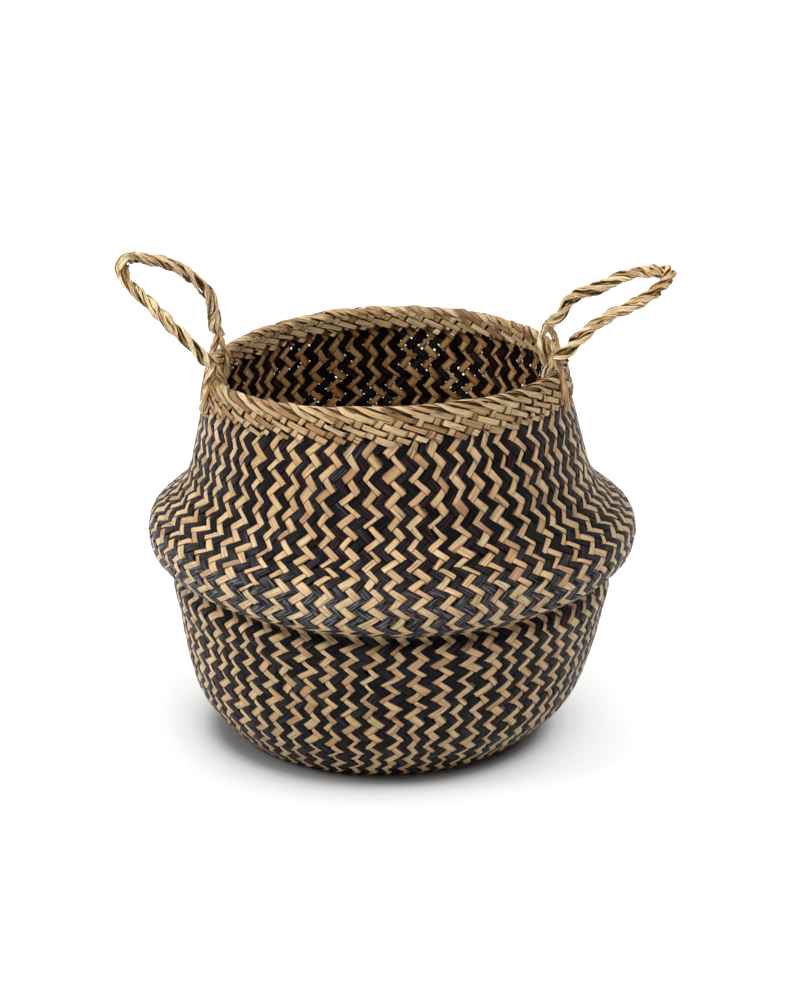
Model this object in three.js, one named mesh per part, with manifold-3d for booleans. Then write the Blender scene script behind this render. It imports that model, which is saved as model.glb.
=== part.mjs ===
// Belly basket plaited from natural and black seagrass strips. A round bowl grows out of a flat
// base mat. Its wall is folded outwards at a crease, so that a rolled belly hangs over the bowl, and
// runs on through a sloping shoulder into a conical neck. A natural band with a toothed lower edge
// covers the rim inside and outside, under a turned edge. Two rope handles lean outwards. Each end of
// a handle sits on a lashing: a strand that passes through the neck wall and closes over the rim.
// Millimetres, +Z up, origin at the centre of the base, handles along X, the front towards -Y.

import * as THREE from 'three';
import { mergeVertices } from 'three/addons/utils/BufferGeometryUtils.js';
import Module from 'manifold-3d';

const wasm = await Module();
wasm.setup();

// Heights and outer radii of the woven wall, from the base up.
const footRadius = 107;
const bowlRadius = 161.5;
const bowlHeight = 117;
const creaseRadius = 156;
const creaseHeight = 127.5;
const bellyRadius = 180;
const bellyHeight = 157.5;
const neckFootRadius = 146;
const neckFootHeight = 205;
const neckTopRadius = 129.5;
const neckTopHeight = 279;

// The rim isn't level: it falls towards the left and dips beside both handles.
const rimTilt = 4;
const rimDip = 2.5;

// Wall, seams and the clearance that touching pieces keep.
const wallThickness = 3;
const seatGap = 0.3;
const baseThickness = 3;

// Rim: a plaited band on each side of the neck wall and a turned edge over all three.
const bandThickness = 2;
const outerBandDepth = 14.5;
const innerBandDepth = 9.5;
const toothDepth = 4.2;
const edgeRollHeight = 4.7;

// Handle rope, and the single strands that lash it to the rim.
const ropeRadius = 4.7;
const strandRadius = 2.6;
const slotDrop = 5;
const slotPlay = 0.4;
const cutOverrun = 3;

// Counts: natural strips in one direction of the weave give the teeth, and two facets each.
const stripCount = 60;
const wallFacets = stripCount;
const rimFacets = 2 * stripCount;
const bowlFootSteps = 3;
const bowlRoundSteps = 2;
const bowlSideSteps = 3;
const rollArcSteps = 6;
const strandSides = 6;
const strandArcSteps = 8;
const ropeSides = 10;
const ropeSteps = 36;
const ropeEndSteps = 3;
const slotSides = 10;

// Handle loops: how far each reaches from its hinge line, and how far each leg bows up out of the
// flat of its loop.
const leftReach = 95;
const leftFrontBow = -5;
const leftBackBow = 18;
const rightReach = 98;
const rightFrontBow = 7.5;
const rightBackBow = 9;

// A handle leg from its foot to the tip: [share of reach, share of spread, share of bow]. The tip
// stands aside by its own share of the spread.
const leftFrontShares = [
  [0, 1, 0],
  [0.1, 1.05, 0.3],
  [0.27, 1.07, 0.1],
  [0.47, 1.06, 0.1],
  [0.67, 0.88, 0.25],
  [0.84, 0.6, 0.8],
  [0.95, 0.28, 0.9],
];
const leftBackShares = [
  [0, 1, 0],
  [0.1, 0.99, 0.2],
  [0.27, 0.99, 0.88],
  [0.47, 0.93, 1],
  [0.67, 0.76, 0.9],
  [0.84, 0.55, 0.5],
  [0.95, 0.36, 0.2],
];
const rightFrontShares = [
  [0, 1, 0],
  [0.1, 1.06, 0.1],
  [0.27, 1.06, 0.75],
  [0.47, 0.99, 0.95],
  [0.67, 0.81, 0.4],
  [0.84, 0.52, 0],
  [0.95, 0.22, -0.1],
];
const rightBackShares = [
  [0, 1, 0],
  [0.1, 0.9, 0.35],
  [0.27, 0.88, 1.15],
  [0.47, 0.83, 0.85],
  [0.67, 0.72, 0.8],
  [0.84, 0.47, 0.55],
  [0.95, 0.22, 0.2],
];
const leftTipShare = 0.12;
const rightTipShare = 0;

// Handles, as they stand in use. The legs stand at legAngle degrees from the X axis, seen from
// above, and each loop leans outwards from upright by lean degrees.
const handles = [
  {
    name: 'left',
    side: -1,
    legAngle: 17,
    lean: 45,
    reach: leftReach,
    frontBow: leftFrontBow,
    backBow: leftBackBow,
    frontShares: leftFrontShares,
    backShares: leftBackShares,
    tipShare: leftTipShare,
  },
  {
    name: 'right',
    side: 1,
    legAngle: 20,
    lean: 59,
    reach: rightReach,
    frontBow: rightFrontBow,
    backBow: rightBackBow,
    frontShares: rightFrontShares,
    backShares: rightBackShares,
    tipShare: rightTipShare,
  },
];

// Outline points inside each stretch of wall, as shares of that stretch's [width, height]. The
// bowl's outline runs on to the crease, and is parted into a foot, a round, a side and a tuck.
const bowlShares = [[0.233, 0.084], [0.599, 0.286], [0.842, 0.615]];
const undersideShares = [[0.25, 0.13], [0.6, 0.28], [0.89, 0.5]];
const shoulderShares = [[0.065, 0.167], [0.317, 0.354], [0.648, 0.563], [0.871, 0.782]];

const naturalColour = 0xc39b63;
const shadedNaturalColour = 0xa98452;
const weaveColour = 0x6a543a;
const undersideColour = 0x5a4a3a;
const ropeColour = 0xcbaa74;
const strandColour = 0xb8935c;

const grass = (color, roughness) => new THREE.MeshStandardMaterial({ color, roughness, metalness: 0 });

const basket = new THREE.Group();

function addPiece(name, geometry, material) {
  const mesh = new THREE.Mesh(geometry, material);
  mesh.name = name;
  basket.add(mesh);
  return mesh;
}

// Outline of the woven wall.

function shareOf(start, end, shares) {
  return shares.map(([across, up]) => new THREE.Vector3(
    start.x + across * (end.x - start.x),
    start.y + up * (end.y - start.y),
    0,
  ));
}

function smoothOutline(points) {
  const stepsPerPoint = 2;
  const curve = new THREE.CatmullRomCurve3(points, false, 'centripetal');
  return curve.getPoints(stepsPerPoint * (points.length - 1)).map((p) => new THREE.Vector2(p.x, p.y));
}

const foot = new THREE.Vector3(footRadius, 0, 0);
const bowl = new THREE.Vector3(bowlRadius, bowlHeight, 0);
const crease = new THREE.Vector3(creaseRadius, creaseHeight, 0);
const belly = new THREE.Vector3(bellyRadius, bellyHeight, 0);
const neckFoot = new THREE.Vector3(neckFootRadius, neckFootHeight, 0);
const neckTop = new THREE.Vector3(neckTopRadius, neckTopHeight, 0);

const bowlOutline = smoothOutline([foot, ...shareOf(foot, bowl, bowlShares), bowl, crease]);
const bowlRoundEnd = bowlFootSteps + bowlRoundSteps;
const bowlSideEnd = bowlRoundEnd + bowlSideSteps;
const stretches = [
  bowlOutline.slice(0, bowlFootSteps + 1),
  bowlOutline.slice(bowlFootSteps, bowlRoundEnd + 1),
  bowlOutline.slice(bowlRoundEnd, bowlSideEnd + 1),
  bowlOutline.slice(bowlSideEnd),
  smoothOutline([crease, ...shareOf(crease, belly, undersideShares), belly]),
  smoothOutline([belly, ...shareOf(belly, neckFoot, shoulderShares), neckFoot]),
  [new THREE.Vector2(neckFoot.x, neckFoot.y), new THREE.Vector2(neckTop.x, neckTop.y)],
];

// Direction in which the wall leaves the outline's point, square to it and towards the inside.
function inwardAt(points, index) {
  const before = points[Math.max(index - 1, 0)];
  const after = points[Math.min(index + 1, points.length - 1)];
  const here = points[index];
  const arriving = (index > 0 ? here.clone().sub(before) : after.clone().sub(here)).normalize();
  const leaving = (index < points.length - 1 ? after.clone().sub(here) : arriving.clone()).normalize();
  const along = arriving.clone().add(leaving).normalize();
  const halfTurnCosine = along.dot(arriving);
  return new THREE.Vector2(-along.y, along.x).divideScalar(halfTurnCosine);
}

const outline = stretches.flatMap((stretch, i) => (i === 0 ? stretch : stretch.slice(1)));
const inner = outline.map((p, i) => p.clone().addScaledVector(inwardAt(outline, i), wallThickness));

// The base end of the wall is cut flat, where it stands on the floor.
const footSlope = outline[1].clone().sub(outline[0]).normalize();
inner[0] = new THREE.Vector2(footRadius - wallThickness / footSlope.y, 0);

function pulledBack(end, neighbour) {
  const halfSeam = seatGap / 2;
  return end.clone().addScaledVector(neighbour.clone().sub(end).normalize(), halfSeam);
}

// The closed section of one stretch, with half a seam taken off each end that meets another.
function stretchSection(first, last) {
  const outside = outline.slice(first, last + 1);
  const inside = inner.slice(first, last + 1);
  for (const row of [outside, inside]) {
    const start = pulledBack(row[0], row[1]);
    const end = pulledBack(row[row.length - 1], row[row.length - 2]);
    if (first > 0) row[0] = start;
    if (last < outline.length - 1) row[row.length - 1] = end;
  }
  return [...outside, ...inside.reverse()];
}

// A section turned about the Z axis. A section that leaves the axis is closed on itself.
function turned(section, facets) {
  const closed = section[0].x === 0 ? section : [...section, section[0].clone()];
  const lathe = new THREE.LatheGeometry(closed, facets);
  return lathe.rotateX(Math.PI / 2);
}

const baseRadius = inner[0].x - seatGap;
const baseSection = [
  new THREE.Vector2(0, 0),
  new THREE.Vector2(baseRadius, 0),
  new THREE.Vector2(baseRadius, baseThickness),
  new THREE.Vector2(0, baseThickness),
];
addPiece('base_mat', turned(baseSection, wallFacets), grass(undersideColour, 0.85));

const wallPieces = [
  { name: 'bowl_foot', colour: weaveColour },
  { name: 'bowl_round', colour: weaveColour },
  { name: 'bowl_side', colour: weaveColour },
  { name: 'bowl_tuck', colour: weaveColour },
  { name: 'belly_underside', colour: undersideColour },
  { name: 'belly_shoulder', colour: weaveColour },
];
let firstPoint = 0;
wallPieces.forEach(({ name, colour }, i) => {
  const lastPoint = firstPoint + stretches[i].length - 1;
  addPiece(name, turned(stretchSection(firstPoint, lastPoint), wallFacets), grass(colour, 0.8));
  firstPoint = lastPoint;
});

// Solids for cutting.

function toSolid(geometry) {
  const bare = new THREE.BufferGeometry();
  bare.setAttribute('position', geometry.getAttribute('position').clone());
  if (geometry.index) bare.setIndex(geometry.index.clone());
  const merged = mergeVertices(bare);
  return new wasm.Manifold(new wasm.Mesh({
    numProp: 3,
    vertProperties: Float32Array.from(merged.getAttribute('position').array),
    triVerts: Uint32Array.from(merged.index.array),
  }));
}

function toGeometry(solid) {
  const { vertProperties, triVerts } = solid.getMesh();
  const geometry = new THREE.BufferGeometry();
  geometry.setAttribute('position', new THREE.BufferAttribute(vertProperties, 3));
  geometry.setIndex(new THREE.BufferAttribute(triVerts, 1));
  geometry.computeVertexNormals();
  return geometry;
}

// How far a point of the rim stands above its middle height, by its angle about the Z axis. A point
// of the neck takes its share of that, from none at the neck's foot, and all above moves with the rim.
const rimRiseAt = (turn) => rimTilt * Math.cos(turn) - rimDip * Math.cos(2 * turn);

function leant(geometry) {
  const position = geometry.getAttribute('position');
  for (let i = 0; i < position.count; i += 1) {
    const height = position.getZ(i);
    const climbed = (height - neckFootHeight) / (neckTopHeight - neckFootHeight);
    const rise = rimRiseAt(Math.atan2(position.getY(i), position.getX(i)));
    position.setZ(i, height + Math.min(Math.max(climbed, 0), 1) * rise);
  }
  geometry.computeVertexNormals();
  return geometry;
}

// Neck wall, with a slot under the band for each of the four lashings.

const neckSlope = (neckTopRadius - neckFootRadius) / (neckTopHeight - neckFootHeight);
const neckRadiusAt = (height) => neckTopRadius + neckSlope * (height - neckTopHeight);
const wallMiddleAt = (height) => neckRadiusAt(height) - wallThickness / 2;

const toothTips = neckTopHeight - outerBandDepth - toothDepth;
const slotHeight = toothTips - slotDrop;
const slotRadius = strandRadius + slotPlay;

// The angles of a handle's front and back leg about the Z axis, in radians.
function legTurns({ side, legAngle }) {
  const middle = side > 0 ? 0 : Math.PI;
  const aside = side * THREE.MathUtils.degToRad(legAngle);
  return { front: middle - aside, back: middle + aside };
}

function slotCutter(turn) {
  const length = wallThickness + 2 * cutOverrun;
  const cutter = new THREE.CylinderGeometry(slotRadius, slotRadius, length, slotSides);
  cutter.rotateZ(Math.PI / 2);
  cutter.translate(wallMiddleAt(slotHeight), 0, slotHeight);
  return toSolid(cutter.rotateZ(turn));
}

const neckSection = stretchSection(outline.length - 2, outline.length - 1);
const neckSolid = handles.flatMap((handle) => Object.values(legTurns(handle))).reduce(
  (solid, turn) => solid.subtract(slotCutter(turn)),
  toSolid(turned(neckSection, rimFacets)),
);
addPiece('neck_wall', leant(toGeometry(neckSolid)), grass(weaveColour, 0.8));

// A band round the neck with a straight top and a toothed lower edge. Each facet line has four
// corners: outer top, outer edge, inner edge and inner top.
function toothedBand(radiusInsideAt, depth) {
  const bandBottom = neckTopHeight - depth;
  const positions = [];
  const index = [];
  for (let i = 0; i < rimFacets; i += 1) {
    const angle = (i / rimFacets) * 2 * Math.PI;
    const edge = i % 2 === 0 ? bandBottom - toothDepth : bandBottom;
    const corners = [
      [radiusInsideAt(neckTopHeight) + bandThickness, neckTopHeight],
      [radiusInsideAt(edge) + bandThickness, edge],
      [radiusInsideAt(edge), edge],
      [radiusInsideAt(neckTopHeight), neckTopHeight],
    ];
    corners.forEach(([radius, height]) => {
      positions.push(radius * Math.cos(angle), radius * Math.sin(angle), height);
    });
    for (let k = 0; k < corners.length; k += 1) {
      const a = i * corners.length + k;
      const b = i * corners.length + ((k + 1) % corners.length);
      const c = ((i + 1) % rimFacets) * corners.length + ((k + 1) % corners.length);
      const d = ((i + 1) % rimFacets) * corners.length + k;
      index.push(a, b, c, a, c, d);
    }
  }
  const geometry = new THREE.BufferGeometry();
  geometry.setAttribute('position', new THREE.Float32BufferAttribute(positions, 3));
  geometry.setIndex(index);
  geometry.computeVertexNormals();
  return geometry;
}

const outerBandAt = (height) => neckRadiusAt(height) + seatGap;
const innerBandAt = (height) => neckRadiusAt(height) - wallThickness - seatGap - bandThickness;
const outerBand = leant(toothedBand(outerBandAt, outerBandDepth));
const innerBand = leant(toothedBand(innerBandAt, innerBandDepth));
addPiece('rim_outer_band', outerBand, grass(naturalColour, 0.75));
addPiece('rim_inner_band', innerBand, grass(shadedNaturalColour, 0.8));

// The turned edge: a half-round ring over the wall and both bands.
const stackHalf = wallThickness / 2 + seatGap + bandThickness;
const rollFoot = neckTopHeight + seatGap;
const rollTop = rollFoot + edgeRollHeight;
const rollMiddle = wallMiddleAt(neckTopHeight);
const rollSection = Array.from({ length: rollArcSteps + 1 }, (_, k) => {
  const turn = (k / rollArcSteps) * Math.PI;
  return new THREE.Vector2(
    rollMiddle + stackHalf * Math.cos(turn),
    rollFoot + edgeRollHeight * Math.sin(turn),
  );
});
addPiece('rim_edge_roll', leant(turned(rollSection, wallFacets)), grass(naturalColour, 0.7));

// A tube of round section. Ring i stands square to the path at centres[i] and has radii[i], and a
// ring of no radius is a single point that closes an end. The rings are carried along the path
// without twist. A closed path joins its last ring to its first.
function roundTube(centres, radii, sides, closed) {
  const count = centres.length;
  const wrap = (i) => (closed ? (i + count) % count : Math.min(Math.max(i, 0), count - 1));
  const directionAt = (i) => centres[wrap(i + 1)].clone().sub(centres[wrap(i - 1)]).normalize();
  const positions = [];
  const rings = [];
  const across = new THREE.Vector3(0, 1, 0);
  for (let i = 0; i < count; i += 1) {
    const direction = directionAt(i);
    across.addScaledVector(direction, -across.dot(direction)).normalize();
    const up = direction.clone().cross(across);
    const points = radii[i] === 0 ? 1 : sides;
    rings.push({ start: positions.length / 3, points });
    for (let k = 0; k < points; k += 1) {
      const turn = (k / sides) * 2 * Math.PI;
      const p = centres[i].clone()
        .addScaledVector(across, radii[i] * Math.cos(turn))
        .addScaledVector(up, radii[i] * Math.sin(turn));
      positions.push(p.x, p.y, p.z);
    }
  }
  const index = [];
  for (let i = 0; i < (closed ? count : count - 1); i += 1) {
    const a = rings[i];
    const b = rings[(i + 1) % count];
    for (let k = 0; k < sides; k += 1) {
      const next = (k + 1) % sides;
      if (a.points > 1) index.push(a.start + k, a.start + next, b.start + (next % b.points));
      if (b.points > 1) index.push(a.start + (k % a.points), b.start + next, b.start + k);
    }
  }
  const geometry = new THREE.BufferGeometry();
  geometry.setAttribute('position', new THREE.Float32BufferAttribute(positions, 3));
  geometry.setIndex(index);
  geometry.computeVertexNormals();
  return geometry;
}

// Lashing: one strand in the upright plane through the Z axis. It passes through the slot, climbs
// beside both bands and closes in an arch over the turned edge.
const chordSpread = 1 / Math.cos(Math.PI / (2 * strandArcSteps));
const strandOffset = (stackHalf + seatGap + strandRadius) * chordSpread;
const archRise = edgeRollHeight + seatGap + strandRadius;
const crownHeight = rollFoot + archRise;

function strandArc(middle, height, rise, startTurn) {
  return Array.from({ length: strandArcSteps + 1 }, (_, k) => {
    const turn = startTurn + (k / strandArcSteps) * Math.PI;
    const offset = strandOffset * Math.cos(turn);
    return new THREE.Vector3(middle + offset, 0, height + rise * Math.sin(turn));
  });
}

function lashing() {
  const lower = strandArc(wallMiddleAt(toothTips), toothTips, slotDrop, Math.PI);
  const upper = strandArc(rollMiddle, rollFoot, archRise, 0);
  const centres = [...lower, ...upper];
  return roundTube(centres, centres.map(() => strandRadius), strandSides, true);
}

// Handle: a pointed loop of rope whose ends turn about the crowns of its two lashings. It is made
// with its hinge line on Y and its reach along +Z, and then leant outwards.
const hingeHeight = crownHeight + strandRadius + seatGap + ropeRadius;
const hingeRadius = rollMiddle;

function handleLoop(handle) {
  const { side, reach, frontBow, backBow, frontShares, backShares, tipShare } = handle;
  const halfSpread = hingeRadius * Math.sin(THREE.MathUtils.degToRad(handle.legAngle));
  const legPoint = (face, bow) => ([out, spread, bowed]) => new THREE.Vector3(
    -side * bowed * bow,
    face * spread * halfSpread,
    out * reach,
  );
  const route = [
    ...frontShares.map(legPoint(-1, frontBow)),
    new THREE.Vector3(0, -tipShare * halfSpread, reach),
    ...backShares.map(legPoint(1, backBow)).reverse(),
  ];
  const curve = new THREE.CatmullRomCurve3(route, false, 'centripetal');
  const centres = curve.getSpacedPoints(ropeSteps);
  const radii = centres.map(() => ropeRadius);
  const endRings = (end, outwards) => Array.from({ length: ropeEndSteps }, (_, k) => {
    const turn = (k / ropeEndSteps) * (Math.PI / 2);
    const centre = end.clone().addScaledVector(outwards, ropeRadius * Math.cos(turn));
    return { centre, radius: ropeRadius * Math.sin(turn) };
  });
  const first = centres[0];
  const last = centres[centres.length - 1];
  const startRings = endRings(first, first.clone().sub(centres[1]).normalize());
  const stopRings = endRings(last, last.clone().sub(centres[centres.length - 2]).normalize()).reverse();
  return roundTube(
    [...startRings.map((r) => r.centre), ...centres, ...stopRings.map((r) => r.centre)],
    [...startRings.map((r) => r.radius), ...radii, ...stopRings.map((r) => r.radius)],
    ropeSides,
    false,
  );
}

for (const handle of handles) {
  const { name, side, lean } = handle;
  const turns = legTurns(handle);
  for (const [face, turn] of Object.entries(turns)) {
    const strand = leant(lashing().rotateZ(turn));
    addPiece(`${name}_${face}_lashing`, strand, grass(strandColour, 0.75));
  }
  const loop = addPiece(`${name}_handle`, handleLoop(handle), grass(ropeColour, 0.7));
  const hinge = hingeHeight + rimRiseAt(turns.front);
  loop.position.set(hingeRadius * Math.cos(turns.front), 0, hinge);
  loop.rotation.y = side * THREE.MathUtils.degToRad(lean);
}

export default basket;
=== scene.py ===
"""Belly basket plaited from natural and black seagrass, with a toothed rim and rope handles.

Metres, +Z up, origin at the centre of the base, handles along X, the front towards -Y. Every piece
is a profile carried along paths that are worked out as whole arrays.
"""
import math
import bpy
import numpy as np
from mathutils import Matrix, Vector


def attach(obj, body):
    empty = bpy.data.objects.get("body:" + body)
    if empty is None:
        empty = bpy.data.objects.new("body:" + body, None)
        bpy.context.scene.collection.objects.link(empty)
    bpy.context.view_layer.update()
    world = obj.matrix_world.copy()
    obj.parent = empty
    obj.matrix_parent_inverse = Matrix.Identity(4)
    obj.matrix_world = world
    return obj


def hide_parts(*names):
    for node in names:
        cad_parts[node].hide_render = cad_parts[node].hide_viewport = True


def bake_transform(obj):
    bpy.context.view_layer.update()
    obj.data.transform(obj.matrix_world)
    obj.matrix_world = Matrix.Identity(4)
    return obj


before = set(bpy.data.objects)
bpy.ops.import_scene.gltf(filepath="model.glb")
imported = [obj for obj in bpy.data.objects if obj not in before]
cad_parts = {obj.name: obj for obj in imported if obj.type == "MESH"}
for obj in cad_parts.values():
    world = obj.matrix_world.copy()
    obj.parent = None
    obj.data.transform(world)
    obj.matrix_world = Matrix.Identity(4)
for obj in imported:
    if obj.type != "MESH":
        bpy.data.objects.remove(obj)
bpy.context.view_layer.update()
rng = np.random.default_rng(7)

# Radius and height at the turning points of the wall's outside, from the base up. The shares are of
# the way across and of the way up from one of them to the next.
FOOT = (0.107, 0.0)
BOWL = (0.1615, 0.117)
CREASE = (0.156, 0.127)
BELLY = (0.180, 0.155)
NECK_FOOT = (0.146, 0.205)
NECK_TOP = (0.1295, 0.279)
FOOT_TURN = [(0.092, 0.0), (0.101, 0.0)]
BOWL_SHARES = [(0.233, 0.084), (0.610, 0.286), (0.842, 0.615), (0.925, 0.81)]
UNDERSIDE_SHARES = [(0.28, 0.15), (0.62, 0.32), (0.896, 0.55)]
SHOULDER_SHARES = [(0.065, 0.208), (0.317, 0.386), (0.648, 0.584), (0.871, 0.792)]
LINE_STEPS = 24
OUTLINE_STEPS = 1200

# Weave of the wall: strips of each colour in each direction, the turn from one strip to the next,
# the strips' pitch, and the steepest that they stand.
COLUMNS = 60
LINE_TURN = math.pi / COLUMNS
UPPER_PITCH = 0.0055
LOWER_PITCH = 0.0053
STEEPEST = math.radians(55)

# How deep the middle of the weave lies, how far a strip lies off it, and how thick a strip is. The
# natural strips are narrower than the pitch by their share, and the black ones as much wider.
WALL_DEPTH = 0.001
WEAVE_LIFT = 0.0007
STRIP_THICK = 0.0005
NATURAL_SHARE = 0.92
STRIP_FIT = 0.96

# Where a strip's rings stand, in rows from a turn, which rows the first and the last ring keep off,
# and how sharply a strip turns from over to under.
RING_ROWS = np.array([0.13, 0.33, 0.75, 1.25, 1.67, 1.87])
FIRST_RING = 0.45
LAST_RING = 0.7
WALL_SHARP = 6.0

# Wandering of the wall: of the strips' edges, in strip widths, and of their lift, each over waves
# of so many rows, and of the whole plait: share of a line turn, waves about the basket, rows and
# phase.
EDGE_SHIFT = 0.34
EDGE_WAVES = (41, 17, 9)
LIFT_WANDER = 0.00015
LIFT_WAVES = (9, 5)
DRIFT_WAVES = [(0.30, 4, 6.1, 0.0), (0.20, 9, -4.3, 1.0), (0.13, 17, 2.7, 2.2)]

# The belly's roll carries paler streaks of painted sheen about this height, most of all towards
# one side.
SHEEN_LEVEL = 0.153
SHEEN_HALF = 0.015
SHEEN_WAY = -2.1
SHEEN_ALL_ROUND = 0.55

# How far the middle of the basket stands aside at each height.
LEAN_HEIGHTS = (0, 0.010, 0.025, 0.050, 0.094, 0.136, 0.157, 0.205, 0.282)
LEAN_ASIDE = (-0.0034, -0.0024, -0.0004, 0.0012, 0.0034, 0.0034, 0.0041, 0.0021, -0.0010)

# How far the belly's fold hangs down in front and behind, and up at the handles, by height.
SAG_HEIGHTS = (0.112, 0.127, 0.142, 0.155, 0.185)
SAG_DEPTHS = (0.0, 0.0022, 0.0032, 0.0016, 0.0)

# Rim. It stands higher towards the right and dips at both handles. The bands' depths, how far they
# lie off the wall, its thickness, their strips' slopes, and the turned edge's radius and foot.
RIM_TILT = 0.004
RIM_DIP = 0.0025
OUTER_BAND_DEPTH = 0.0187
INNER_BAND_DEPTH = 0.0137
BAND_OFF = 0.0013
WALL_THICK = 0.003
SHALLOW = math.radians(21)
STEEP = math.radians(55)
ROLL_RADIUS = 0.128
ROLL_FOOT = 0.2793

# Handles: side, leg angle, lean, reach, bows of the front and of the back leg, and the tip's share
# of the half spread. A leg's points are shares of reach, spread and bow.
HANDLES = {
    "left": (-1, math.radians(17), math.radians(45), 0.095, -0.005, 0.018, 0.12),
    "right": (1, math.radians(20), math.radians(59), 0.098, 0.0075, 0.009, 0.0),
}
LEG_SHARES = {
    ("left", "front"): [(0, 1, 0), (0.1, 1.05, 0.3), (0.27, 1.07, 0.1), (0.47, 1.06, 0.1),
                        (0.67, 0.88, 0.25), (0.84, 0.6, 0.8), (0.95, 0.28, 0.9)],
    ("left", "back"): [(0, 1, 0), (0.1, 0.99, 0.2), (0.27, 0.99, 0.88), (0.47, 0.93, 1),
                       (0.67, 0.76, 0.9), (0.84, 0.55, 0.5), (0.95, 0.36, 0.2)],
    ("right", "front"): [(0, 1, 0), (0.1, 1.06, 0.1), (0.27, 1.06, 0.75), (0.47, 0.99, 0.95),
                         (0.67, 0.81, 0.4), (0.84, 0.52, 0), (0.95, 0.22, -0.1)],
    ("right", "back"): [(0, 1, 0), (0.1, 0.9, 0.35), (0.27, 0.88, 1.15), (0.47, 0.83, 0.85),
                        (0.67, 0.72, 0.8), (0.84, 0.47, 0.55), (0.95, 0.22, 0.2)],
}

# Height of the hinges on a level rim, and the length in which a rope turns once, and a leaf in it.
HINGE_LEVEL = 0.2945
ROPE_PITCH = 0.047
LEAF_PITCH = 0.062

# Sections of a flat strip and of a rope's leaf, as shares of half the width and half the thickness,
# anticlockwise seen against the path, and the points whose lines along the path stay sharp.
STRIP = np.array([(1, 0), (0.86, 0.8), (0, 1), (-0.86, 0.8), (-1, 0), (0, -0.9)])
STRIP_RIDGES = (0, 1, 3, 4)
LEAF = np.array([(1, -0.3), (0.60, 0.75), (0.05, 0.35), (-0.60, 0.95), (-1, -0.1), (0, -0.8)])
LEAF_RIDGES = (1, 3, 4)

# How far each point of a strip's section looks outwards, which sets its painted crossing shade,
# how dark the painted shade stays at least on the wall, and how dark the painted shade is at each
# point of a leaf's section.
STRIP_FACE = np.array([0.35, 1, 1, 1, 0.35, -1])
WALL_INSIDE_SHADE = np.array([0, 0, 0, 0, 0, 0.50])
LEAF_SHADE = np.array([0.58, 0.05, 0.15, 0.0, 0.58, 1.0])

# How dark the painted crossing shade makes a point that looks sideways, the askewest that a ring
# lies to its path, and the length of pattern in which each path finds a start of its own.
SIDEWAYS_SHADE = 0.6
LEAST_SQUARE = 0.55
PATTERN_ROOM = 9


def unit(v):
    """Each vector divided by its length."""
    return v / np.linalg.norm(v, axis=-1, keepdims=True)


def smooth_line(points, steps=LINE_STEPS):
    """Centripetal Catmull-Rom curve through the points: cubic pieces whose end slopes come from the
    neighbours, weighted by the square root of the distances."""
    points = np.asarray(points, float)
    p = np.vstack([2 * points[0] - points[1], points, 2 * points[-1] - points[-2]])
    gap = np.sqrt(np.linalg.norm(np.diff(p, axis=0), axis=1))[:, None]
    before, here, after = gap[:-2], gap[1:-1], gap[2:]
    p0, p1, p2, p3 = p[:-3], p[1:-2], p[2:-1], p[3:]
    slope1 = ((p1 - p0) / before - (p2 - p0) / (before + here) + (p2 - p1) / here) * here
    slope2 = ((p2 - p1) / here - (p3 - p1) / (here + after) + (p3 - p2) / after) * here
    t = np.linspace(0, 1, steps, endpoint=False)[None, :, None]
    curve = ((2 * t**3 - 3 * t**2 + 1) * p1[:, None] + (t**3 - 2 * t**2 + t) * slope1[:, None]
             + (3 * t**2 - 2 * t**3) * p2[:, None] + (t**3 - t**2) * slope2[:, None])
    return np.vstack([curve.reshape(-1, points.shape[1]), points[-1]])


def spread(line, count):
    """The line's points moved to `count` equal steps of its length, and the length up to each."""
    length = np.concatenate([[0], np.cumsum(np.linalg.norm(np.diff(line, axis=0), axis=1))])
    at = np.linspace(0, length[-1], count)
    return np.stack([np.interp(at, length, line[:, k]) for k in range(line.shape[1])], axis=1), at


def between(start, end, shares):
    """Points at the given shares of the way across and up from start to end."""
    start, end = np.array(start), np.array(end)
    return [tuple(start + np.array(share) * (end - start)) for share in shares]


def neck_radius(height):
    """Outside radius of the conical neck at a height."""
    slope = (NECK_TOP[0] - NECK_FOOT[0]) / (NECK_TOP[1] - NECK_FOOT[1])
    return NECK_TOP[0] + slope * (height - NECK_TOP[1])


def wall_outline():
    """Radius and height of the wall's outside in equal steps, and the outward normal there: the
    slope of the line turned a quarter."""
    bowl = smooth_line([*FOOT_TURN, FOOT, *between(FOOT, BOWL, BOWL_SHARES), BOWL, CREASE])
    underside = smooth_line([CREASE, *between(CREASE, BELLY, UNDERSIDE_SHARES), BELLY])
    shoulder = smooth_line([BELLY, *between(BELLY, NECK_FOOT, SHOULDER_SHARES), NECK_FOOT])
    neck = np.array([NECK_FOOT, NECK_TOP])
    line, at = spread(np.vstack([bowl, underside[1:], shoulder[1:], neck[1:]]), OUTLINE_STEPS)
    line[:, 1] = np.maximum(line[:, 1], 0)
    slope = unit(np.gradient(line, axis=0))
    return line, at, np.stack([slope[:, 1], -slope[:, 0]], axis=1)


def rows_of_weave():
    """Number of rows up to each point of the outline. A strip of pitch p that is 3 degrees from the
    next one lies at the angle whose sine is p over the distance between them, and the rows are half
    its upright spacing apart."""
    line, at, _ = wall_outline()
    apart = line[:, 0] * LINE_TURN
    upper = np.clip((line[:, 1] - CREASE[1]) / (BELLY[1] - CREASE[1]), 0, 1)
    pitch = LOWER_PITCH + (UPPER_PITCH - LOWER_PITCH) * upper
    pitch = np.minimum(pitch, apart * math.sin(STEEPEST))
    row_height = pitch / np.sqrt(1 - (pitch / apart) ** 2) / 2
    rows = np.concatenate([[0], np.cumsum(np.diff(at) * 2 / (row_height[1:] + row_height[:-1]))])
    return rows, pitch


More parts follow.
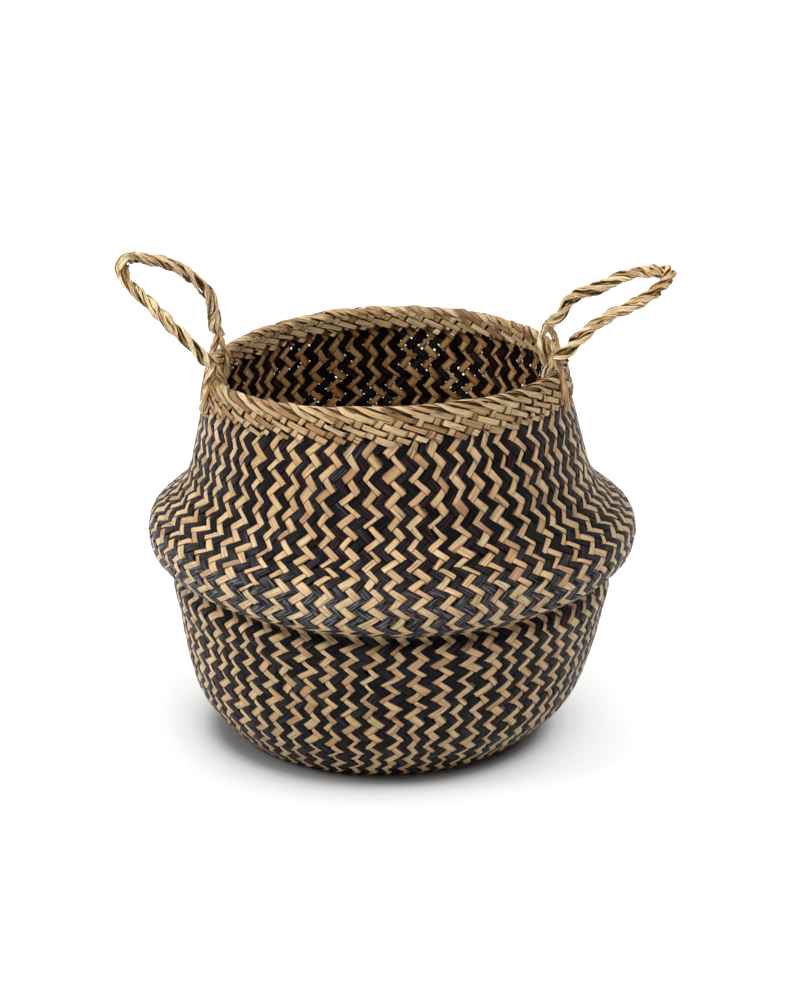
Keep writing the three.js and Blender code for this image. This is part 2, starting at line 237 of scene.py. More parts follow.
def around(angle, radius, height):
    """Points from an angle about the Z axis, a radius and a height."""
    return np.stack(np.broadcast_arrays(radius * np.cos(angle), radius * np.sin(angle), height), -1)


def over_under(crossing, period=4.0, sharp=2.2, bias=0.0):
    """+1 where a strip lies on top and -1 where it lies below: a cosine over the crossings, made
    steep between its flats by a tanh, and moved up by `bias` to lie on top for longer."""
    wave = np.cos(2 * np.pi / period * crossing) + bias
    return np.tanh(sharp * wave) / math.tanh(sharp)


def wander(count, along, lengths, size):
    """Slow random drift for each strip: a sum of waves of the given lengths, each with its own
    phase, at the places `along`."""
    phases = rng.uniform(0, 2 * np.pi, (len(lengths), count, 1))
    waves = [np.sin(2 * np.pi * along / length + phase) for length, phase in zip(lengths, phases)]
    return size * np.sum(waves, axis=0) / len(lengths)


def rim_rise(angle):
    """How far the rim stands above its plain height: one wave about it and two smaller ones."""
    return RIM_TILT * np.cos(angle) - RIM_DIP * np.cos(2 * angle)


def settle(points):
    """The basket's hand-made stance: each level stands a little aside, the neck climbs to the
    unlevel rim, by the share of the neck that lies below, and the belly's fold sags."""
    points = points.copy()
    angle = np.arctan2(points[..., 1], points[..., 0])
    share = np.clip((points[..., 2] - NECK_FOOT[1]) / (NECK_TOP[1] - NECK_FOOT[1]), 0, 1)
    points[..., 0] += np.interp(points[..., 2], LEAN_HEIGHTS, LEAN_ASIDE)
    points[..., 2] += share * rim_rise(angle)
    points[..., 2] += np.interp(points[..., 2], SAG_HEIGHTS, SAG_DEPTHS) * np.cos(2 * angle)
    return points


def carry(centre, up, half_width, half_thick, profile=STRIP, across=None):
    """Rings of a profile along paths: each point is centre + x * half width * side + y * half
    thickness * up, where up is squared to the path and side is up crossed with the path. Where the
    rings lie askew, side is the way `across`, made longer so that the strip keeps its width."""
    ahead = unit(np.gradient(centre, axis=1))
    up = unit(up - np.sum(up * ahead, axis=-1, keepdims=True) * ahead)
    side = np.cross(up, ahead)
    if across is not None:
        share = np.sum(across * side, axis=-1, keepdims=True)
        side = across / (np.sign(share) * np.maximum(np.abs(share), LEAST_SQUARE))
    wide = np.broadcast_to(half_width, centre.shape[:2])[..., None, None]
    thick = np.broadcast_to(half_thick, centre.shape[:2])[..., None, None]
    return (centre[:, :, None] + profile[:, :1] * wide * side[:, :, None]
            + profile[:, 1:] * thick * up[:, :, None])


def crossing_shade(over, least=0):
    """How dark the painted shade is at each point of a strip in a crossing, from 0 for what looks
    outwards on top to 1 for what looks outwards below, where `over` is +1 on top and -1 below."""
    return np.clip(SIDEWAYS_SHADE - SIDEWAYS_SHADE * over[..., None] * STRIP_FACE, least, 1)


def strip_skin(rings, width, painted_shade, profile=STRIP, tone=None, painted_sheen=0.0):
    """A closed skin over each path's rings: four-cornered faces between rings and one face on each
    end. The pattern's first coordinate runs along the path and its second one across it, in metres.
    Each path has a tone of its own and starts at its own place in the pattern. The third argument
    says how dark each ring, or each of its points, is painted as shade in a crossing or a hollow,
    and the last one how much paler sheen is painted on it."""
    paths, steps, points = rings.shape[:3]
    ids = np.arange(paths * steps * points).reshape(paths, steps, points)
    near, far = ids[:, :-1], ids[:, 1:]
    quads = np.stack([near, np.roll(near, -1, 2), np.roll(far, -1, 2), far], -1).reshape(-1, 4)
    middle = rings.mean(axis=2)
    length = np.cumsum(np.linalg.norm(np.diff(middle, axis=1, prepend=middle[:, :1]), axis=-1), 1)
    length = length + rng.uniform(0, PATTERN_ROOM, (paths, 1))
    across = np.append(profile[:, 0], profile[0, 0]) * width / 2
    u = np.broadcast_to(length[:, :, None], (paths, steps, points + 1))
    v = np.broadcast_to(across, (paths, steps, points + 1))
    grid = np.stack([u, v], -1)
    corners = np.stack([grid[:, :-1, :-1], grid[:, :-1, 1:], grid[:, 1:, 1:], grid[:, 1:, :-1]], 3)
    ends = np.concatenate([ids[:, 0, ::-1], ids[:, -1]])
    end_corners = np.concatenate([grid[:, 0, points - 1::-1], grid[:, -1, :points]])
    tone = rng.random(paths) if tone is None else tone
    painted_shade = np.asarray(painted_shade)
    painted_shade = np.broadcast_to(painted_shade if painted_shade.ndim == 3 else painted_shade[..., None], (paths, steps, points))
    return {
        "points": rings.reshape(-1, 3), "quads": quads, "corners": corners.reshape(-1, 2),
        "ends": ends, "end_corners": end_corners.reshape(-1, 2),
        "tone": np.repeat(tone, steps * points), "painted_shade": painted_shade.ravel(),
        "painted_sheen": np.repeat(np.broadcast_to(painted_sheen, (paths, steps)).ravel(), points),
        "place": np.tile(np.arange(points), paths * steps),
    }


def add_piece(name, skins, material, body, replaced, ridges=STRIP_RIDGES):
    """One mesh from the skins, with sharp lines along the ridges of the section."""
    start = np.cumsum([0] + [len(s["points"]) for s in skins])
    points = np.concatenate([s["points"] for s in skins])
    faces = [(s["quads"] + n, s["ends"] + n) for s, n in zip(skins, start)]
    loops = np.concatenate([part.ravel() for pair in faces for part in pair])
    sizes = np.concatenate([np.full(len(part), part.shape[1]) for pair in faces for part in pair])
    corners = np.concatenate([c for s in skins for c in (s["corners"], s["end_corners"])])
    mesh = bpy.data.meshes.new(name)
    mesh.vertices.add(len(points))
    mesh.vertices.foreach_set("co", points.ravel().astype(np.float32))
    mesh.loops.add(len(loops))
    mesh.loops.foreach_set("vertex_index", loops.astype(np.int32))
    mesh.polygons.add(len(sizes))
    starts = np.concatenate([[0], np.cumsum(sizes)[:-1]])
    mesh.polygons.foreach_set("loop_start", starts.astype(np.int32))
    mesh.uv_layers.new(name="UVMap").data.foreach_set("uv", corners.ravel().astype(np.float32))
    mesh.update(calc_edges=True)
    for key in ("tone", "painted_shade", "painted_sheen"):
        values = np.concatenate([s[key] for s in skins]).astype(np.float32)
        mesh.attributes.new(key, "FLOAT", "POINT").data.foreach_set("value", values)
    place = np.concatenate([s["place"] for s in skins])
    edges = np.empty(2 * len(mesh.edges), np.int32)
    mesh.edges.foreach_get("vertices", edges)
    first, second = place[edges[::2]], place[edges[1::2]]
    sharp = mesh.attributes.new("sharp_edge", "BOOLEAN", "EDGE")
    sharp.data.foreach_set("value", (first == second) & np.isin(first, ridges))
    mesh.materials.append(material)
    piece = bpy.data.objects.new(name, mesh)
    bpy.context.collection.objects.link(piece)
    if body:
        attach(piece, body)
    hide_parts(*replaced)
    return piece


# Materials.

def node(tree, kind, settings=(), **inputs):
    """A node with its settings, and its inputs by name or, such as i0, by place, given as values or
    as other nodes' outputs."""
    made = tree.nodes.new(kind)
    for key, value in dict(settings).items():
        setattr(made, key, value)
    for key, value in inputs.items():
        socket = made.inputs[int(key[1:]) if key[1:].isdigit() else key]
        if isinstance(value, bpy.types.NodeSocket):
            tree.links.new(value, socket)
        else:
            socket.default_value = value
    return made


def maths(tree, operation, a, b=0.5):
    """The result of one sum."""
    return node(tree, "ShaderNodeMath", {"operation": operation}, i0=a, i1=b).outputs[0]


def ramp(tree, factor, stops):
    """Colour by a factor, from (place, colour) stops."""
    made = node(tree, "ShaderNodeValToRGB", i0=factor)
    elements = made.color_ramp.elements
    while len(elements) < len(stops):
        elements.new(1.0)
    for element, (place, colour) in zip(elements, stops):
        element.position, element.color = place, (*colour, 1)
    return made.outputs[0]


def blend_colour(tree, way, factor, first, second):
    """The first colour with the second one laid over it, by the factor."""
    made = node(tree, "ShaderNodeMix", {"data_type": "RGBA", "blend_type": way},
                i0=factor, i6=first, i7=second)
    return made.outputs[2]


# Patterns in the grass: waves to the metre along a strip and across it, detail and roughness.
DRIFT = (26, 60, 2.0, 0.55)
FIBRES = (32, 1150, 3.0, 0.65)
SPLITS = (14, 420, 1.0, 0.5)
TEARS = (22, 90, 1.0, 0.5)
BLOTCHES = (160, 260, 4.0, 0.65)
SHEEN_STREAKS = (90, 900, 3.0, 0.6)

# Shares of a strip's own tone and of the drift along it, of the cracks, of the painted shade at the
# edges and of the painted shade in the crossings in the colour, and of the fibres and the cracks in
# the relief, which is this deep and strong.
TONE_SHARE = 0.60
DRIFT_SHARE = 0.44
CRACK_SHARE = 0.9
EDGE_SHADE_SHARE = 0.95
CROSSING_SHADE_SHARE = 0.9
FIBRE_RELIEF = 0.7
CRACK_RELIEF = 0.25
CRACK_HALF = 0.025
RELIEF = {"Strength": 0.8, "Distance": 0.0004}

BLACK = (0, 0, 0)
WHITE = (1, 1, 1)
# Warm tint of the painted shade halfway down into a crossing.
CROSSING_SHADE_TINT = (0.98, 0.80, 0.58)


def grass(name, tones, fibre, stain, stain_share, sheen_colour, dark, half_width, roughness, specular):
    """Dried seagrass: a tone for each strip, drifting along it, with long fine fibres and splits,
    stained patches, paler streaks of painted sheen, and painted shade at the edges and in the
    crossings. Lengths on the pattern are in metres."""
    material = bpy.data.materials.new(name)
    material.use_nodes = True
    tree = material.node_tree
    shader = tree.nodes["Principled BSDF"]
    pattern = node(tree, "ShaderNodeUVMap", {"uv_map": "UVMap"}).outputs[0]
    tone, painted_shade, painted_sheen = (node(tree, "ShaderNodeAttribute", {"attribute_name": key}).outputs[2]
                        for key in ("tone", "painted_shade", "painted_sheen"))

    def noise(along, across, detail, grain):
        vector = node(tree, "ShaderNodeMapping", i0=pattern, Scale=(along, across, 1)).outputs[0]
        return node(tree, "ShaderNodeTexNoise", i0=vector, Scale=1.0, Detail=detail,
                    Roughness=grain).outputs[0]

    def times(a, b):
        return maths(tree, "MULTIPLY", a, b)

    def shaded(share, shade):
        return blend_colour(tree, "MULTIPLY", share, colour, shade)

    def covered(share, over):
        return blend_colour(tree, "MIX", share, colour, (*over, 1))

    fibres = noise(*FIBRES)
    mixed_tone = maths(tree, "ADD", times(tone, TONE_SHARE), times(noise(*DRIFT), DRIFT_SHARE))
    colour = ramp(tree, mixed_tone, tones)
    colour = shaded(1.0, ramp(tree, fibres, [(0.30, fibre[0]), (0.47, WHITE), (0.68, fibre[1])]))

    crack = maths(tree, "ABSOLUTE", maths(tree, "SUBTRACT", noise(*SPLITS), 0.5))
    torn = ramp(tree, noise(*TEARS), [(0.50, BLACK), (0.56, WHITE)])
    colour = shaded(times(torn, CRACK_SHARE), ramp(tree, crack, [(0.006, dark), (0.020, WHITE)]))

    patches = ramp(tree, noise(*BLOTCHES), [(0.52, BLACK), (0.70, WHITE)])
    colour = covered(times(patches, stain_share), stain)
    # Painted sheen: paler streaks where the belly rolls.
    sheen_streaks = ramp(tree, noise(*SHEEN_STREAKS), [(0.46, BLACK), (0.64, WHITE)])
    colour = covered(times(sheen_streaks, painted_sheen), sheen_colour)

    # Painted shade of the gaps between strips: darker towards a strip's edges.
    aside = maths(tree, "ABSOLUTE", node(tree, "ShaderNodeSeparateXYZ", i0=pattern).outputs[1])
    edge = ramp(tree, maths(tree, "DIVIDE", aside, half_width), [(0.72, WHITE), (0.93, dark)])
    colour = shaded(EDGE_SHADE_SHARE, edge)
    # Painted shade: darker where a strip goes down into a crossing or a hollow.
    crossing = ramp(tree, painted_shade, [(0.32, WHITE), (0.55, CROSSING_SHADE_TINT), (0.95, dark)])
    colour = shaded(CROSSING_SHADE_SHARE, crossing)

    depth = node(tree, "ShaderNodeMapRange", i0=crack, i1=0.0, i2=CRACK_HALF).outputs[0]
    height = maths(tree, "ADD", times(fibres, FIBRE_RELIEF), times(depth, CRACK_RELIEF))
    bump = node(tree, "ShaderNodeBump", Height=height, **RELIEF)
    rough = node(tree, "ShaderNodeMapRange", i0=fibres, i3=roughness - 0.1, i4=roughness + 0.14)
    tree.links.new(colour, shader.inputs["Base Color"])
    tree.links.new(rough.outputs[0], shader.inputs["Roughness"])
    tree.links.new(bump.outputs[0], shader.inputs["Normal"])
    shader.inputs["Specular IOR Level"].default_value = specular
    return material


# Tones by which the strips differ, the shades of the darkest and of the palest fibres, and of the
# cracks and of the painted shade at the edges and in the crossings.
STRAW = [
    (0.16, (0.32, 0.165, 0.070)), (0.32, (0.50, 0.300, 0.130)), (0.46, (0.62, 0.415, 0.200)),
    (0.58, (0.53, 0.335, 0.160)), (0.70, (0.65, 0.460, 0.240)), (0.82, (0.53, 0.390, 0.190)),
    (0.94, (0.42, 0.250, 0.115)),
]
BAND_STRAW = [
    (0.16, (0.20, 0.095, 0.040)), (0.32, (0.38, 0.220, 0.095)), (0.48, (0.60, 0.415, 0.205)),
    (0.60, (0.40, 0.225, 0.115)), (0.74, (0.68, 0.510, 0.275)), (0.90, (0.36, 0.240, 0.115)),
]
ROPE_STRAW = [
    (0.16, (0.48, 0.30, 0.140)), (0.38, (0.72, 0.53, 0.28)), (0.56, (0.91, 0.78, 0.51)),
    (0.74, (0.72, 0.55, 0.31)), (0.90, (0.98, 0.90, 0.68)),
]
DYED = [
    (0.20, (0.0026, 0.0023, 0.0024)), (0.46, (0.0048, 0.0047, 0.0051)),
    (0.64, (0.010, 0.0052, 0.0058)), (0.82, (0.011, 0.0115, 0.0132)),
    (0.96, (0.028, 0.029, 0.033)),
]
DRY_FIBRE = ((0.50, 0.41, 0.30), (1.30, 1.30, 1.28))
# The black strips' palest fibres stand far above their tone: fibre grain and painted sheen streaks.
DYED_FIBRE_AND_SHEEN = ((0.40, 0.35, 0.33), (5.4, 5.6, 5.9))
DRY_DARK = (0.15, 0.075, 0.035)
DYED_DARK = (0.12, 0.07, 0.05)
BAND_DARK = (0.11, 0.055, 0.022)

natural_strip = grass("natural_strip", STRAW, DRY_FIBRE,
                      stain=(0.27, 0.125, 0.05), stain_share=0.40, sheen_colour=(0.80, 0.65, 0.43),
                      dark=DRY_DARK, half_width=0.0024, roughness=0.48, specular=0.55)
black_strip = grass("black_strip", DYED, DYED_FIBRE_AND_SHEEN,
                    stain=(0.030, 0.010, 0.014), stain_share=0.30, sheen_colour=(0.25, 0.255, 0.275),
                    dark=DYED_DARK, half_width=0.0028, roughness=0.42, specular=0.05)
band_strip = grass("band_strip", BAND_STRAW, DRY_FIBRE,
                   stain=(0.34, 0.18, 0.08), stain_share=0.35, sheen_colour=(0.85, 0.72, 0.50),
                   dark=BAND_DARK, half_width=0.0023, roughness=0.54, specular=0.30)
rope_leaf = grass("rope_leaf", ROPE_STRAW, DRY_FIBRE,
                  stain=(0.36, 0.21, 0.09), stain_share=0.35, sheen_colour=(0.85, 0.72, 0.50),
                  dark=DRY_DARK, half_width=0.0021, roughness=0.56, specular=0.25)


# Wall.

WALL_NODES = ("bowl_foot", "bowl_round", "bowl_side", "bowl_tuck", "belly_underside",
              "belly_shoulder", "neck_wall")
edge_phases = {direction: rng.uniform(0, 2 * np.pi, (len(EDGE_WAVES), 2 * COLUMNS))
               for direction in (1, -1)}


def edge_shift(direction, edge, row):
    """How far an edge between two strips of one direction stands aside at a row, in strip widths:
    slow waves with phases of their own, and a step that makes every second strip wider. Between two
    edges the shift is in proportion."""
    def shift(number):
        phases = edge_phases[direction][:, number % (2 * COLUMNS)]
        waves = sum(np.sin(2 * np.pi * row / length + phase)
                    for length, phase in zip(EDGE_WAVES, phases))
        step = (1 - NATURAL_SHARE) / 2 * np.where(number % 2, -1, 1)
        return EDGE_SHIFT / len(EDGE_WAVES) * waves - step

    low = np.floor(edge).astype(int)
    return shift(low) + (edge - low) * (shift(low + 1) - shift(low))


def weave_drift(angle, row):
    """Share of a line turn by which the plait wanders about the basket: three slow waves over the
    angle and the rows, the same for both directions, so that the columns wander together."""
    return sum(share * np.sin(waves * angle + row / rows + phase)
               for share, waves, rows, phase in DRIFT_WAVES)


def wall_strips(name, first, direction, share, material):
    """One colour's strips of one direction. Strip i passes row r at the angle of
    (i + direction * r / 2) line turns, and lies over or under the wall's middle by a wave of four
    rows. It fills the room between its two edges, turns over or under at the edges of the other
    direction's strips, and its rings lie along those edges."""
    line, at, out = wall_outline()
    rows, pitch = rows_of_weave()
    even = (np.arange(-1.5, rows[-1] + 2, 2)[:, None] + RING_ROWS).ravel()
    even = even[(even > FIRST_RING) & (even < rows[-1] - LAST_RING)]
    strip = first + 2 * np.arange(COLUMNS)[:, None]
    row = even + direction * edge_shift(-direction, strip + direction * even - 0.5, even)
    place = np.interp(row, rows, at)
    radius, height = (np.interp(place, at, line[:, k]) for k in range(2))
    out_radial, out_up = (np.interp(place, at, out[:, k]) for k in range(2))
    near, far = (edge_shift(direction, edge + 0 * row, row) for edge in (strip - 1, strip))
    angle = LINE_TURN * (strip + direction * row / 2 + (near + far) / 2)
    angle = angle + LINE_TURN * weave_drift(angle, row)
    over = direction * over_under(even - 0.5, sharp=WALL_SHARP) + 0 * row
    lift = WEAVE_LIFT * over - WALL_DEPTH + wander(COLUMNS, row, LIFT_WAVES, LIFT_WANDER)
    centre = settle(around(angle, radius + lift * out_radial, height + lift * out_up))
    ahead = unit(np.gradient(settle(around(angle, radius, height)), axis=1))
    around_way = around(angle + np.pi / 2, 1, 0)
    across = ahead - 2 * np.sum(ahead * around_way, axis=-1, keepdims=True) * around_way
    up = around(angle, out_radial, out_up)
    width = STRIP_FIT * np.interp(place, at, pitch) * (1 + far - near)
    rings = carry(centre, up, width / 2, STRIP_THICK / 2, across=across)
    rings[..., 2] = np.maximum(rings[..., 2], 0)
    # Painted sheen on the belly's roll, strongest towards one side.
    painted_sheen = SHEEN_ALL_ROUND + (1 - SHEEN_ALL_ROUND) * np.cos(angle - SHEEN_WAY)
    painted_sheen = painted_sheen * np.exp(-((height - SHEEN_LEVEL) / SHEEN_HALF) ** 2)
    # Painted shade in the crossings, and painted shade on the strips' inner faces inside the
    # basket.
    skin = strip_skin(rings, STRIP_FIT * share * UPPER_PITCH, crossing_shade(over, WALL_INSIDE_SHADE), painted_sheen=painted_sheen)
    piece = add_piece(name, [skin], material, None, WALL_NODES)
    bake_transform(piece)


for way, direction in (("rising", 1), ("falling", -1)):
    wall_strips(f"natural_{way}_strips", 0, direction, NATURAL_SHARE, natural_strip)
    wall_strips(f"black_{way}_strips", 1, direction, 2 - NATURAL_SHARE, black_strip)


# Base mat: how far it reaches, the pitch and the level of its strips, and the turn of its plait.

BASE_RADIUS = 0.100
BASE_PITCH = 0.0056
BASE_LEVEL = 0.0029
BASE_TURN = math.radians(38)
BASE_STEPS = 110


def base_strips(name, first, share, material):
    """One colour's strips of the base: straight strips of two directions square to each other, cut
    to the circle, each over two and under two, one step further on from strip to strip."""
    half = int(BASE_RADIUS / BASE_PITCH)
    index = np.arange(-half + (half + first) % 2, half + 1, 2)[:, None]
    aside = index * BASE_PITCH
    along = np.linspace(-1, 1, BASE_STEPS) * np.sqrt(BASE_RADIUS**2 - aside**2)
    aside = aside + 0 * along
    skins = []
    for direction in (1, -1):
        over = direction * over_under(along / BASE_PITCH - direction * index - 0.5)
        ahead, left = (along, aside) if direction > 0 else (aside, along)
        x = ahead * math.cos(BASE_TURN) - left * math.sin(BASE_TURN)
        y = ahead * math.sin(BASE_TURN) + left * math.cos(BASE_TURN)
        centre = np.stack([x, y, BASE_LEVEL + WEAVE_LIFT * over], -1)
        up = np.broadcast_to(np.array([0.0, 0.0, 1.0]), centre.shape)
        rings = carry(settle(centre), up, share * BASE_PITCH / 2, STRIP_THICK / 2)
        skins.append(strip_skin(rings, share * BASE_PITCH, crossing_shade(over)))
    add_piece(name, skins, material, "bowl", ("base_mat",))


base_strips("natural_base_strips", 0, NATURAL_SHARE, natural_strip)
base_strips("black_base_strips", 1, 2 - NATURAL_SHARE, black_strip)


# Rim.

# Strips of either kind about the rim, the room of each, how far a strip runs about the rim for its
# rise, and the rise from one crossing to the next.
RIM_STRIPS = 60
RIM_APART = 2 * math.pi * NECK_TOP[0] / RIM_STRIPS
SHALLOW_RUN = 1 / math.tan(SHALLOW)
STEEP_RUN = 1 / math.tan(STEEP)
LEVEL = RIM_APART / (SHALLOW_RUN + STEEP_RUN)

# Strips of a band: the share of their room that they fill, where they start above its foot, and how
# high the steep ones reach. The shallow ones lie on top for longer.
SHALLOW_SHARE, SHALLOW_START, SHALLOW_BIAS = 0.84, -0.0012, 0.60
STEEP_SHARE, STEEP_START, STEEP_BIAS = 0.44, 0.0016, 0.0
OUTER_STEEP_TOP = 0.0165
INNER_STEEP_TOP = 0.0130
BAND_STEPS = 96
BAND_LIFT = 0.0011
BAND_HALF_THICK = 0.0003
BAND_PERIOD = 2.0
BAND_SHARP = 5.0
BAND_LOOK_UP = 0.2

# Hand-made unevenness of a band: how much its lower ends differ, and how its strips sway and swell,
# as wave lengths and size.
RAGGED_ENDS = 0.0030
BAND_SWAY = ((0.05, 0.019), 0.0090)
BAND_SWELL = ((0.05, 0.016), 0.26)

# Across the rim: where the turned strips come out from under the last crossing outside and go back
# under the first one inside, half of the turned edge's own arc, and how far strips run about the
# rim for their way over it.
OUTER_CUT = 3 * LEVEL
INNER_LAG = 0.0020
INNER_CUT = 3 * LEVEL - INNER_LAG
HALF_ARC = 0.0060
OVER_RUN = 2.0
TURN_RUN = ((OUTER_BAND_DEPTH + INNER_BAND_DEPTH - OUTER_CUT - INNER_CUT) * SHALLOW_RUN
            + 2 * HALF_ARC * OVER_RUN)
rim_turns = 2 * np.pi * np.arange(RIM_STRIPS)[:, None] / RIM_STRIPS
rim_tones = rng.random(RIM_STRIPS)


def band(name, offset, hand, depth, lag, steep_top, node_name):
    """The plait on one side of the neck. Shallow strips fall towards the right of who looks at them
    and steep ones rise. Both cross at even levels, where the shallow strips pass over, under, over,
    and the steep ones the other way about; the first level lies `lag` below the band's edge."""
    bottom = NECK_TOP[1] - depth
    shift = 0.0
    if hand < 0:
        shift = -(TURN_RUN + (OUTER_CUT + INNER_CUT + lag) * SHALLOW_RUN) / NECK_TOP[0]
    shallow = (-SHALLOW_RUN, STEEP_RUN, SHALLOW, SHALLOW_SHARE, SHALLOW_START, depth, SHALLOW_BIAS,
               rim_tones)
    steep = (STEEP_RUN, -SHALLOW_RUN, STEEP, STEEP_SHARE, STEEP_START, steep_top, STEEP_BIAS, None)
    skins = []
    for first, (run, other, tilt, share, low, top, bias, tone) in enumerate((shallow, steep)):
        height = np.linspace(low, top, BAND_STEPS)
        height = height + RAGGED_ENDS * rng.random((RIM_STRIPS, 1)) * (1 - height / height.max())
        angle = rim_turns + hand * run * (height + lag) / NECK_TOP[0] + shift
        angle = angle + wander(RIM_STRIPS, height, *BAND_SWAY)
        over = over_under((height + lag) / LEVEL + first, BAND_PERIOD, BAND_SHARP, bias)
        radius = neck_radius(bottom + height) + offset + hand * BAND_LIFT * over
        centre = around(angle, radius, bottom + height)
        up = around(angle, hand + 0 * angle, hand * BAND_LOOK_UP)
        across = around(angle + np.pi / 2, hand * other, 0 * angle) + around(angle, 0 * angle, 1.0)
        width = share * RIM_APART * math.sin(tilt)
        wide = width * (1 + wander(RIM_STRIPS, height, *BAND_SWELL))
        rings = carry(settle(centre), up, wide / 2, BAND_HALF_THICK, across=unit(across))
        skins.append(strip_skin(rings, width, crossing_shade(over), tone=tone))
    add_piece(name, skins, band_strip, "collar", (node_name,))


band("outer_band", BAND_OFF, 1, OUTER_BAND_DEPTH, 0.0, OUTER_STEEP_TOP, "rim_outer_band")
band("inner_band", -WALL_THICK - BAND_OFF, -1, INNER_BAND_DEPTH, INNER_LAG, INNER_STEEP_TOP,
     "rim_inner_band")

# Strips that turn over the rim: half the breadth and the height of their arc, how far in from its
# ends a strip lies free and how that eases in, the flare of its ends, how far it tips, its share of
# its room and what it loses where it is free, its usual width and half its thickness.
TURNED_ARC = (0.0028, 0.0038)
TURNED_STEPS = 64
TURNED_FREE = 0.004
TURNED_EASE = 0.7
TURNED_FLARE = 0.2
TURNED_TIP = 0.34
TURNED_SHARE = 0.92
TURNED_LOSS = 0.10
TURNED_WIDTH = 0.0048
TURNED_HALF_THICK = 0.00032

# Their unevenness: how far they puff up, and wave lengths and size of each wandering.
TURNED_PUFF = (-0.0007, 0.0009)
TURNED_RIPPLE = ((0.011,), 0.0004)
TURNED_SWAY = ((0.037, 0.019), 0.0036)
TURNED_ROCK = ((0.03, 0.017), 0.40)
TURNED_SWELL = ((0.05, 0.018), 0.30)

# Short strips on the crest between them: from where to where over the rim, and the same values.
CREST_ENDS = (-0.0052, 0.0066)
CREST_RUN = 2.9
CREST_ARC = (0.0030, 0.0039)
CREST_STEPS = 40
CREST_FREE = 0.0028
CREST_TUCK = 0.0016
CREST_WIDTH = 0.0034
CREST_END_SHARE = 0.55
CREST_HALF_THICK = 0.00030
# How dark the painted shade is where a crest strip tucks in between the turned ones.
CREST_TUCKED_SHADE = 0.7
CREST_PUFF = (-0.0006, 0.0010)
CREST_SWAY = ((0.031, 0.017), 0.0030)
CREST_ROCK = ((0.03, 0.017), 0.45)
CREST_SWELL = ((0.05, 0.018), 0.35)

# Strips that run round inside the turn: start, height above the arc's foot and place aside.
CORE_STARTS = np.array([[0.0], [2.0], [4.0]])
CORE_RISES = np.array([[0.0006], [0.0016], [0.0004]])
CORE_ASIDE = np.array([[-0.0013], [0.0], [0.0013]])
CORE_WAVES = 7
CORE_WANDER = 0.0004
CORE_STEPS = 240
CORE_HALF = (0.0022, 0.0003)
# How dark the core strips are painted, as shade inside the turn.
CORE_PAINTED_SHADE = 0.8


def arc_turn(way):
    """Turn up the half ellipse over the rim, from 0 at its outer foot to pi at its inner one."""
    return np.pi / 2 * (1 + np.clip(way / HALF_ARC, -1, 1))


def tipped(angle, turn, tip):
    """The way that a strip looks where it lies at a turn over the rim, tipped along the rim."""
    sideways = around(angle + np.pi / 2, 1, 0 * turn)
    return around(angle, np.cos(turn), np.sin(turn)) + tip[..., None] * sideways


def turned_strips():
    """The band's shallow strips where they turn over the rim: from under the last crossing outside,
    up, over a half ellipse and down inside. `way` is the length across the rim, 0 at the top, and a
    strip runs back around the rim as it goes."""
    outer = OUTER_BAND_DEPTH - OUTER_CUT
    inner = INNER_BAND_DEPTH - INNER_CUT
    way = np.linspace(-HALF_ARC - outer, HALF_ARC + inner, TURNED_STEPS)
    turn = arc_turn(way)
    below = np.maximum(np.abs(way) - HALF_ARC, 0)
    slope = np.where(np.abs(way) < HALF_ARC, OVER_RUN, SHALLOW_RUN)
    run = np.concatenate([[0], np.cumsum((slope[1:] + slope[:-1]) / 2 * np.diff(way))])
    free = np.clip(np.minimum(way - way[0], way[-1] - way) / TURNED_FREE, 0, 1)
    over = 2 * free**TURNED_EASE - 1
    aside = free * wander(RIM_STRIPS, way, *TURNED_SWAY)
    angle = rim_turns - (OUTER_CUT * SHALLOW_RUN + run + aside) / NECK_TOP[0]
    puff = free * (rng.uniform(*TURNED_PUFF, (RIM_STRIPS, 1))
                   + wander(RIM_STRIPS, way, *TURNED_RIPPLE))
    broad = np.cos(turn) * (TURNED_ARC[0] + BAND_LIFT * over + puff)
    radius = ROLL_RADIUS + broad + TURNED_FLARE * below * np.sign(-way)
    centre = around(angle, radius, ROLL_FOOT + np.sin(turn) * (TURNED_ARC[1] + puff) - below)
    tip = (TURNED_TIP + wander(RIM_STRIPS, way, *TURNED_ROCK)) * free
    width = RIM_APART * math.sin(SHALLOW) * (TURNED_SHARE - TURNED_LOSS * free)
    wide = width * (1 + wander(RIM_STRIPS, way, *TURNED_SWELL))
    rings = carry(settle(centre), tipped(angle, turn, tip), wide / 2, TURNED_HALF_THICK)
    # Painted shade where the strips go under the bands' crossings at both ends.
    return strip_skin(rings, TURNED_WIDTH, np.clip(-over, 0, 1), tone=rim_tones)


